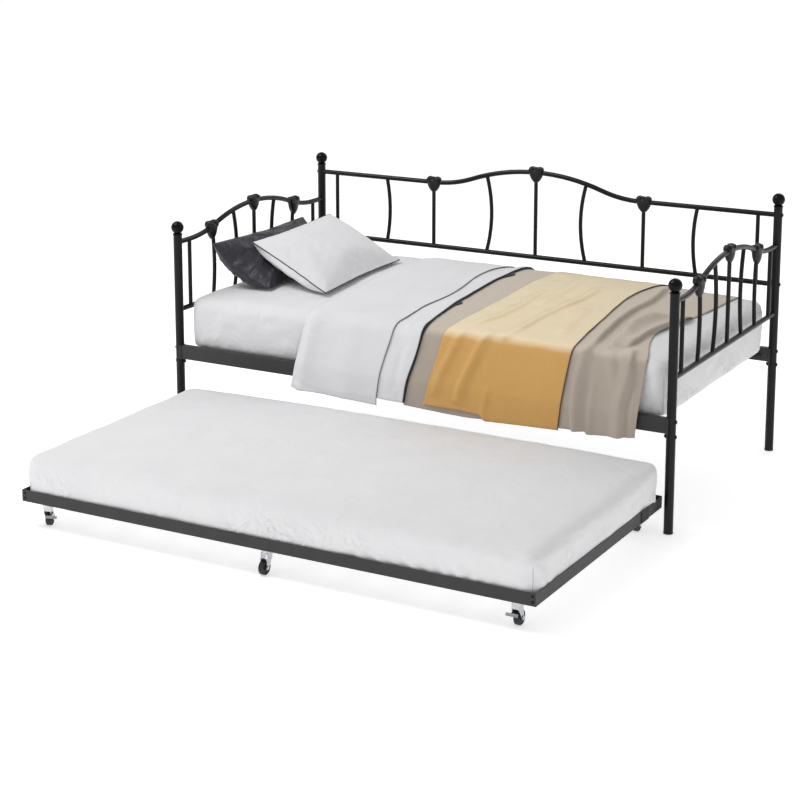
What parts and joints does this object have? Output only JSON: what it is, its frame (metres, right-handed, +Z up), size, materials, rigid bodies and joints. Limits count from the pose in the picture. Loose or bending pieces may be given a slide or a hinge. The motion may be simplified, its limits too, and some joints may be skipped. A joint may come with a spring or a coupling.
{
  "type": "trundle bed",
  "caption": "Steel daybed with scrolled back and arms, made up with bedding, over a low trundle bed that rolls out on braked swivel casters.",
  "frame": {"origin": "centre of the footprint on the floor, with the trundle pulled out", "axes": "+Z up, +Y towards the back panel, +X towards the right-hand arm, and the trundle pulls out along -Y"},
  "size_m": [2.0069, 2.036, 0.9977],
  "materials": {
    "black_steel": "satin",
    "zinc_steel": "satin",
    "black_rubber": "matte",
    "wheel_rubber": "satin",
    "fitted_sheet": "matte",
    "white_cotton": "matte",
    "taupe_wool": "matte",
    "mustard_knit": "matte",
    "dark_satin": "satin"
  },
  "bodies": {
    "daybed": {"post_front_left": "black_steel", "post_front_right": "black_steel", "post_back_left": "black_steel", "post_back_right": "black_steel", "lower_legs": "black_steel", "ball_finials": "black_steel", "foot_caps": "black_rubber", "back_top_rail": "black_steel", "back_bottom_rail": "black_steel", "back_spindles": "black_steel", "back_hearts": "black_steel", "left_arm_top_rail": "black_steel", "left_arm_bottom_rail": "black_steel", "left_arm_spindles": "black_steel", "left_arm_hearts": "black_steel", "right_arm_top_rail": "black_steel", "right_arm_bottom_rail": "black_steel", "right_arm_spindles": "black_steel", "right_arm_hearts": "black_steel", "front_side_rail": "black_steel", "back_side_rail": "black_steel", "deck_slats": "black_steel", "deck_screws": "zinc_steel", "frame_bolts": "black_steel", "frame_nuts": "black_steel", "mattress": "fitted_sheet", "dark_pillow": "dark_satin", "white_pillow": "white_cotton", "top_sheet": "white_cotton", "blanket": "taupe_wool", "throw": "mustard_knit"},
    "trundle": {"trundle_front_rail": "black_steel", "trundle_back_rail": "black_steel", "trundle_left_rail": "black_steel", "trundle_right_rail": "black_steel", "trundle_slats": "black_steel", "trundle_bolts": "black_steel", "trundle_nuts": "black_steel", "trundle_mattress": "fitted_sheet", "trundle_bumpers": "black_rubber", "caster_stems": "zinc_steel"},
    "fork_front_left": {"fork_front_left": "zinc_steel"},
    "wheel_front_left": {"wheel_front_left": "wheel_rubber"},
    "brake_front_left": {"brake_front_left": "zinc_steel"},
    "fork_front_middle": {"fork_front_middle": "zinc_steel"},
    "wheel_front_middle": {"wheel_front_middle": "wheel_rubber"},
    "brake_front_middle": {"brake_front_middle": "zinc_steel"},
    "fork_front_right": {"fork_front_right": "zinc_steel"},
    "wheel_front_right": {"wheel_front_right": "wheel_rubber"},
    "brake_front_right": {"brake_front_right": "zinc_steel"},
    "fork_back_left": {"fork_back_left": "zinc_steel"},
    "wheel_back_left": {"wheel_back_left": "wheel_rubber"},
    "brake_back_left": {"brake_back_left": "zinc_steel"},
    "fork_back_middle": {"fork_back_middle": "zinc_steel"},
    "wheel_back_middle": {"wheel_back_middle": "wheel_rubber"},
    "brake_back_middle": {"brake_back_middle": "zinc_steel"},
    "fork_back_right": {"fork_back_right": "zinc_steel"},
    "wheel_back_right": {"wheel_back_right": "wheel_rubber"},
    "brake_back_right": {"brake_back_right": "zinc_steel"}
  },
  "joints": [
    {"name": "trundle_slide", "type": "slide", "parent": "daybed", "child": "trundle", "axis": [0, 1, 0], "range_m": [0, 0.98]},
    {"name": "swivel_front_left", "type": "hinge", "parent": "trundle", "child": "fork_front_left", "pos_m": [-0.856, -0.9775, 0.078], "axis": [0, 0, 1], "continuous": true},
    {"name": "roll_front_left", "type": "hinge", "parent": "fork_front_left", "child": "wheel_front_left", "pos_m": [-0.86138, -0.9635, 0.024], "axis": [0.9336, 0.3584, 0], "continuous": true},
    {"name": "brake_front_left", "type": "hinge", "parent": "fork_front_left", "child": "brake_front_left", "pos_m": [-0.85743, -0.97377, 0.046], "axis": [0.9336, 0.3584, 0], "range_deg": [0, 9]},
    {"name": "swivel_front_middle", "type": "hinge", "parent": "trundle", "child": "fork_front_middle", "pos_m": [0.012, -0.9775, 0.078], "axis": [0, 0, 1], "continuous": true},
    {"name": "roll_front_middle", "type": "hinge", "parent": "fork_front_middle", "child": "wheel_front_middle", "pos_m": [0.012, -0.9925, 0.024], "axis": [-1, 0, 0], "continuous": true},
    {"name": "brake_front_middle", "type": "hinge", "parent": "fork_front_middle", "child": "brake_front_middle", "pos_m": [0.012, -0.9815, 0.046], "axis": [-1, 0, 0], "range_deg": [0, 9]},
    {"name": "swivel_front_right", "type": "hinge", "parent": "trundle", "child": "fork_front_right", "pos_m": [0.88, -0.9775, 0.078], "axis": [0, 0, 1], "continuous": true},
    {"name": "roll_front_right", "type": "hinge", "parent": "fork_front_right", "child": "wheel_front_right", "pos_m": [0.88, -0.9625, 0.024], "axis": [1, 0, 0], "continuous": true},
    {"name": "brake_front_right", "type": "hinge", "parent": "fork_front_right", "child": "brake_front_right", "pos_m": [0.88, -0.9735, 0.046], "axis": [1, 0, 0], "range_deg": [0, 9]},
    {"name": "swivel_back_left", "type": "hinge", "parent": "trundle", "child": "fork_back_left", "pos_m": [-0.856, -0.0765, 0.078], "axis": [0, 0, 1], "continuous": true},
    {"name": "roll_back_left", "type": "hinge", "parent": "fork_back_left", "child": "wheel_back_left", "pos_m": [-0.85809, -0.06165, 0.024], "axis": [0.9903, 0.1392, 0], "continuous": true},
    {"name": "brake_back_left", "type": "hinge", "parent": "fork_back_left", "child": "brake_back_left", "pos_m": [-0.85656, -0.07254, 0.046], "axis": [0.9903, 0.1392, 0], "range_deg": [0, 9]},
    {"name": "swivel_back_middle", "type": "hinge", "parent": "trundle", "child": "fork_back_middle", "pos_m": [0.012, -0.0765, 0.078], "axis": [0, 0, 1], "continuous": true},
    {"name": "roll_back_middle", "type": "hinge", "parent": "fork_back_middle", "child": "wheel_back_middle", "pos_m": [0.012, -0.0615, 0.024], "axis": [1, 0, 0], "continuous": true},
    {"name": "brake_back_middle", "type": "hinge", "parent": "fork_back_middle", "child": "brake_back_middle", "pos_m": [0.012, -0.0725, 0.046], "axis": [1, 0, 0], "range_deg": [0, 9]},
    {"name": "swivel_back_right", "type": "hinge", "parent": "trundle", "child": "fork_back_right", "pos_m": [0.88, -0.0765, 0.078], "axis": [0, 0, 1], "continuous": true},
    {"name": "roll_back_right", "type": "hinge", "parent": "fork_back_right", "child": "wheel_back_right", "pos_m": [0.88, -0.0615, 0.024], "axis": [1, 0, 0], "continuous": true},
    {"name": "brake_back_right", "type": "hinge", "parent": "fork_back_right", "child": "brake_back_right", "pos_m": [0.88, -0.0725, 0.046], "axis": [1, 0, 0], "range_deg": [0, 9]}
  ]
}
